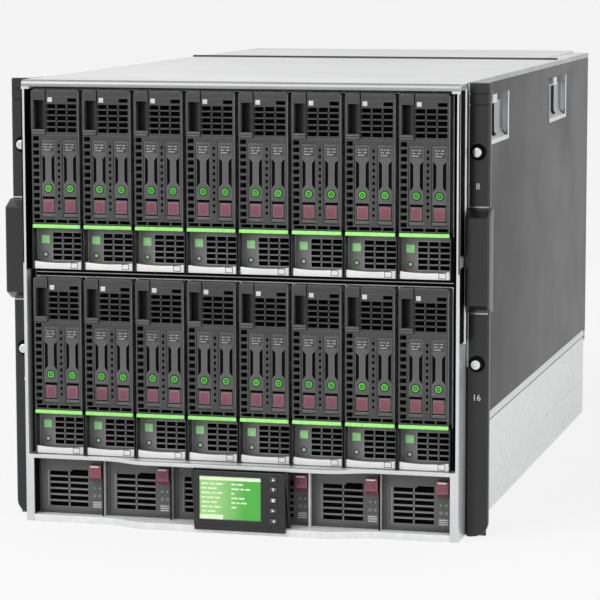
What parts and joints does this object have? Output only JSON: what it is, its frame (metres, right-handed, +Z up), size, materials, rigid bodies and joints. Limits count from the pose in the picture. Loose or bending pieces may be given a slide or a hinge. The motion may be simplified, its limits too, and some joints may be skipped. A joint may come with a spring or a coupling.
{
  "type": "blade server chassis",
  "caption": "Rack chassis with rows of pull-out server blades, pull-out power supplies with latches, and a small sliding, tilting display between wavy lips.",
  "frame": {"origin": "middle of the whole object's box, at the underside", "axes": "+X to the right seen from the front, +Y from the front to the rear, +Z up"},
  "size_m": [0.4936, 0.8288, 0.4464],
  "materials": {
    "bare_steel": "satin zinc",
    "painted_side": "powder coat",
    "ear_black": "satin black",
    "board": "solder mask",
    "rear_module": "satin",
    "blade": "moulded graphite",
    "lever_silver": "satin",
    "supply": "moulded graphite",
    "latch_maroon": "moulded",
    "display_black": "moulded",
    "key_grey": "moulded"
  },
  "bodies": {
    "chassis": {"base_tray": "bare_steel", "front_frame": "bare_steel", "side_panels": "painted_side", "lift_hook_plates": "bare_steel", "roof_panel": "bare_steel", "rack_ears": "ear_black", "rack_screws": "bare_steel", "midplane": "board", "rear_modules": "rear_module"},
    "blade_01": {"server_blade_01": "blade"},
    "lever_01": {"blade_lever_01": "lever_silver"},
    "blade_02": {"server_blade_02": "blade"},
    "lever_02": {"blade_lever_02": "lever_silver"},
    "blade_03": {"server_blade_03": "blade"},
    "lever_03": {"blade_lever_03": "lever_silver"},
    "blade_04": {"server_blade_04": "blade"},
    "lever_04": {"blade_lever_04": "lever_silver"},
    "blade_05": {"server_blade_05": "blade"},
    "lever_05": {"blade_lever_05": "lever_silver"},
    "blade_06": {"server_blade_06": "blade"},
    "lever_06": {"blade_lever_06": "lever_silver"},
    "blade_07": {"server_blade_07": "blade"},
    "lever_07": {"blade_lever_07": "lever_silver"},
    "blade_08": {"server_blade_08": "blade"},
    "lever_08": {"blade_lever_08": "lever_silver"},
    "blade_09": {"server_blade_09": "blade"},
    "lever_09": {"blade_lever_09": "lever_silver"},
    "blade_10": {"server_blade_10": "blade"},
    "lever_10": {"blade_lever_10": "lever_silver"},
    "blade_11": {"server_blade_11": "blade"},
    "lever_11": {"blade_lever_11": "lever_silver"},
    "blade_12": {"server_blade_12": "blade"},
    "lever_12": {"blade_lever_12": "lever_silver"},
    "blade_13": {"server_blade_13": "blade"},
    "lever_13": {"blade_lever_13": "lever_silver"},
    "blade_14": {"server_blade_14": "blade"},
    "lever_14": {"blade_lever_14": "lever_silver"},
    "blade_15": {"server_blade_15": "blade"},
    "lever_15": {"blade_lever_15": "lever_silver"},
    "blade_16": {"server_blade_16": "blade"},
    "lever_16": {"blade_lever_16": "lever_silver"},
    "supply_1": {"power_supply_1": "supply"},
    "latch_1": {"power_latch_1": "latch_maroon"},
    "supply_2": {"power_supply_2": "supply"},
    "latch_2": {"power_latch_2": "latch_maroon"},
    "supply_3": {"power_supply_3": "supply"},
    "latch_3": {"power_latch_3": "latch_maroon"},
    "supply_4": {"power_supply_4": "supply"},
    "latch_4": {"power_latch_4": "latch_maroon"},
    "supply_5": {"power_supply_5": "supply"},
    "latch_5": {"power_latch_5": "latch_maroon"},
    "supply_6": {"power_supply_6": "supply"},
    "latch_6": {"power_latch_6": "latch_maroon"},
    "carriage": {"display_carriage": "ear_black"},
    "display": {"display_panel": "display_black"},
    "key_up": {"display_key_up": "key_grey"},
    "key_down": {"display_key_down": "key_grey"},
    "key_ok": {"display_key_ok": "key_grey"},
    "key_right": {"display_key_right": "key_grey"},
    "key_left": {"display_key_left": "key_grey"}
  },
  "joints": [
    {"name": "blade_01_slide", "type": "slide", "parent": "chassis", "child": "blade_01", "axis": [0, -1, 0], "range_m": [0, 0.5]},
    {"name": "lever_01_pivot", "type": "hinge", "parent": "blade_01", "child": "lever_01", "pos_m": [-0.18655, -0.3902, 0.2588], "axis": [1, 0, 0], "range_deg": [0, 60]},
    {"name": "blade_02_slide", "type": "slide", "parent": "chassis", "child": "blade_02", "axis": [0, -1, 0], "range_m": [0, 0.5]},
    {"name": "lever_02_pivot", "type": "hinge", "parent": "blade_02", "child": "lever_02", "pos_m": [-0.13325, -0.3902, 0.2588], "axis": [1, 0, 0], "range_deg": [0, 60]},
    {"name": "blade_03_slide", "type": "slide", "parent": "chassis", "child": "blade_03", "axis": [0, -1, 0], "range_m": [0, 0.5]},
    {"name": "lever_03_pivot", "type": "hinge", "parent": "blade_03", "child": "lever_03", "pos_m": [-0.07995, -0.3902, 0.2588], "axis": [1, 0, 0], "range_deg": [0, 60]},
    {"name": "blade_04_slide", "type": "slide", "parent": "chassis", "child": "blade_04", "axis": [0, -1, 0], "range_m": [0, 0.5]},
    {"name": "lever_04_pivot", "type": "hinge", "parent": "blade_04", "child": "lever_04", "pos_m": [-0.02665, -0.3902, 0.2588], "axis": [1, 0, 0], "range_deg": [0, 60]},
    {"name": "blade_05_slide", "type": "slide", "parent": "chassis", "child": "blade_05", "axis": [0, -1, 0], "range_m": [0, 0.5]},
    {"name": "lever_05_pivot", "type": "hinge", "parent": "blade_05", "child": "lever_05", "pos_m": [0.02665, -0.3902, 0.2588], "axis": [1, 0, 0], "range_deg": [0, 60]},
    {"name": "blade_06_slide", "type": "slide", "parent": "chassis", "child": "blade_06", "axis": [0, -1, 0], "range_m": [0, 0.5]},
    {"name": "lever_06_pivot", "type": "hinge", "parent": "blade_06", "child": "lever_06", "pos_m": [0.07995, -0.3902, 0.2588], "axis": [1, 0, 0], "range_deg": [0, 60]},
    {"name": "blade_07_slide", "type": "slide", "parent": "chassis", "child": "blade_07", "axis": [0, -1, 0], "range_m": [0, 0.5]},
    {"name": "lever_07_pivot", "type": "hinge", "parent": "blade_07", "child": "lever_07", "pos_m": [0.13325, -0.3902, 0.2588], "axis": [1, 0, 0], "range_deg": [0, 60]},
    {"name": "blade_08_slide", "type": "slide", "parent": "chassis", "child": "blade_08", "axis": [0, -1, 0], "range_m": [0, 0.5]},
    {"name": "lever_08_pivot", "type": "hinge", "parent": "blade_08", "child": "lever_08", "pos_m": [0.18655, -0.3902, 0.2588], "axis": [1, 0, 0], "range_deg": [0, 60]},
    {"name": "blade_09_slide", "type": "slide", "parent": "chassis", "child": "blade_09", "axis": [0, -1, 0], "range_m": [0, 0.5]},
    {"name": "lever_09_pivot", "type": "hinge", "parent": "blade_09", "child": "lever_09", "pos_m": [-0.18655, -0.3902, 0.072], "axis": [1, 0, 0], "range_deg": [0, 60]},
    {"name": "blade_10_slide", "type": "slide", "parent": "chassis", "child": "blade_10", "axis": [0, -1, 0], "range_m": [0, 0.5]},
    {"name": "lever_10_pivot", "type": "hinge", "parent": "blade_10", "child": "lever_10", "pos_m": [-0.13325, -0.3902, 0.072], "axis": [1, 0, 0], "range_deg": [0, 60]},
    {"name": "blade_11_slide", "type": "slide", "parent": "chassis", "child": "blade_11", "axis": [0, -1, 0], "range_m": [0, 0.5]},
    {"name": "lever_11_pivot", "type": "hinge", "parent": "blade_11", "child": "lever_11", "pos_m": [-0.07995, -0.3902, 0.072], "axis": [1, 0, 0], "range_deg": [0, 60]},
    {"name": "blade_12_slide", "type": "slide", "parent": "chassis", "child": "blade_12", "axis": [0, -1, 0], "range_m": [0, 0.5]},
    {"name": "lever_12_pivot", "type": "hinge", "parent": "blade_12", "child": "lever_12", "pos_m": [-0.02665, -0.3902, 0.072], "axis": [1, 0, 0], "range_deg": [0, 60]},
    {"name": "blade_13_slide", "type": "slide", "parent": "chassis", "child": "blade_13", "axis": [0, -1, 0], "range_m": [0, 0.5]},
    {"name": "lever_13_pivot", "type": "hinge", "parent": "blade_13", "child": "lever_13", "pos_m": [0.02665, -0.3902, 0.072], "axis": [1, 0, 0], "range_deg": [0, 60]},
    {"name": "blade_14_slide", "type": "slide", "parent": "chassis", "child": "blade_14", "axis": [0, -1, 0], "range_m": [0, 0.5]},
    {"name": "lever_14_pivot", "type": "hinge", "parent": "blade_14", "child": "lever_14", "pos_m": [0.07995, -0.3902, 0.072], "axis": [1, 0, 0], "range_deg": [0, 60]},
    {"name": "blade_15_slide", "type": "slide", "parent": "chassis", "child": "blade_15", "axis": [0, -1, 0], "range_m": [0, 0.5]},
    {"name": "lever_15_pivot", "type": "hinge", "parent": "blade_15", "child": "lever_15", "pos_m": [0.13325, -0.3902, 0.072], "axis": [1, 0, 0], "range_deg": [0, 60]},
    {"name": "blade_16_slide", "type": "slide", "parent": "chassis", "child": "blade_16", "axis": [0, -1, 0], "range_m": [0, 0.5]},
    {"name": "lever_16_pivot", "type": "hinge", "parent": "blade_16", "child": "lever_16", "pos_m": [0.18655, -0.3902, 0.072], "axis": [1, 0, 0], "range_deg": [0, 60]},
    {"name": "supply_1_slide", "type": "slide", "parent": "chassis", "child": "supply_1", "axis": [0, -1, 0], "range_m": [0, 0.46]},
    {"name": "latch_1_press", "type": "slide", "parent": "supply_1", "child": "latch_1", "axis": [-1, 0, 0], "range_m": [0, 0.003], "stiffness_N_per_m": 400},
    {"name": "supply_2_slide", "type": "slide", "parent": "chassis", "child": "supply_2", "axis": [0, -1, 0], "range_m": [0, 0.46]},
    {"name": "latch_2_press", "type": "slide", "parent": "supply_2", "child": "latch_2", "axis": [-1, 0, 0], "range_m": [0, 0.003], "stiffness_N_per_m": 400},
    {"name": "supply_3_slide", "type": "slide", "parent": "chassis", "child": "supply_3", "axis": [0, -1, 0], "range_m": [0, 0.007]},
    {"name": "latch_3_press", "type": "slide", "parent": "supply_3", "child": "latch_3", "axis": [-1, 0, 0], "range_m": [0, 0.003], "stiffness_N_per_m": 400},
    {"name": "supply_4_slide", "type": "slide", "parent": "chassis", "child": "supply_4", "axis": [0, -1, 0], "range_m": [0, 0.007]},
    {"name": "latch_4_press", "type": "slide", "parent": "supply_4", "child": "latch_4", "axis": [-1, 0, 0], "range_m": [0, 0.003], "stiffness_N_per_m": 400},
    {"name": "supply_5_slide", "type": "slide", "parent": "chassis", "child": "supply_5", "axis": [0, -1, 0], "range_m": [0, 0.46]},
    {"name": "latch_5_press", "type": "slide", "parent": "supply_5", "child": "latch_5", "axis": [-1, 0, 0], "range_m": [0, 0.003], "stiffness_N_per_m": 400},
    {"name": "supply_6_slide", "type": "slide", "parent": "chassis", "child": "supply_6", "axis": [0, -1, 0], "range_m": [0, 0.46]},
    {"name": "latch_6_press", "type": "slide", "parent": "supply_6", "child": "latch_6", "axis": [-1, 0, 0], "range_m": [0, 0.003], "stiffness_N_per_m": 400},
    {"name": "display_slide", "type": "slide", "parent": "chassis", "child": "carriage", "axis": [1, 0, 0], "range_m": [-0.028, 0.016]},
    {"name": "display_tilt", "type": "hinge", "parent": "carriage", "child": "display", "pos_m": [0.006, -0.40975, 0.0598], "axis": [-1, 0, 0], "range_deg": [0, 60]},
    {"name": "key_up_press", "type": "slide", "parent": "display", "child": "key_up", "axis": [0, 1, 0], "range_m": [0, 0.001], "stiffness_N_per_m": 300},
    {"name": "key_down_press", "type": "slide", "parent": "display", "child": "key_down", "axis": [0, 1, 0], "range_m": [0, 0.001], "stiffness_N_per_m": 300},
    {"name": "key_ok_press", "type": "slide", "parent": "display", "child": "key_ok", "axis": [0, 1, 0], "range_m": [0, 0.001], "stiffness_N_per_m": 300},
    {"name": "key_right_press", "type": "slide", "parent": "display", "child": "key_right", "axis": [0, 1, 0], "range_m": [0, 0.001], "stiffness_N_per_m": 300},
    {"name": "key_left_press", "type": "slide", "parent": "display", "child": "key_left", "axis": [0, 1, 0], "range_m": [0, 0.001], "stiffness_N_per_m": 300}
  ]
}
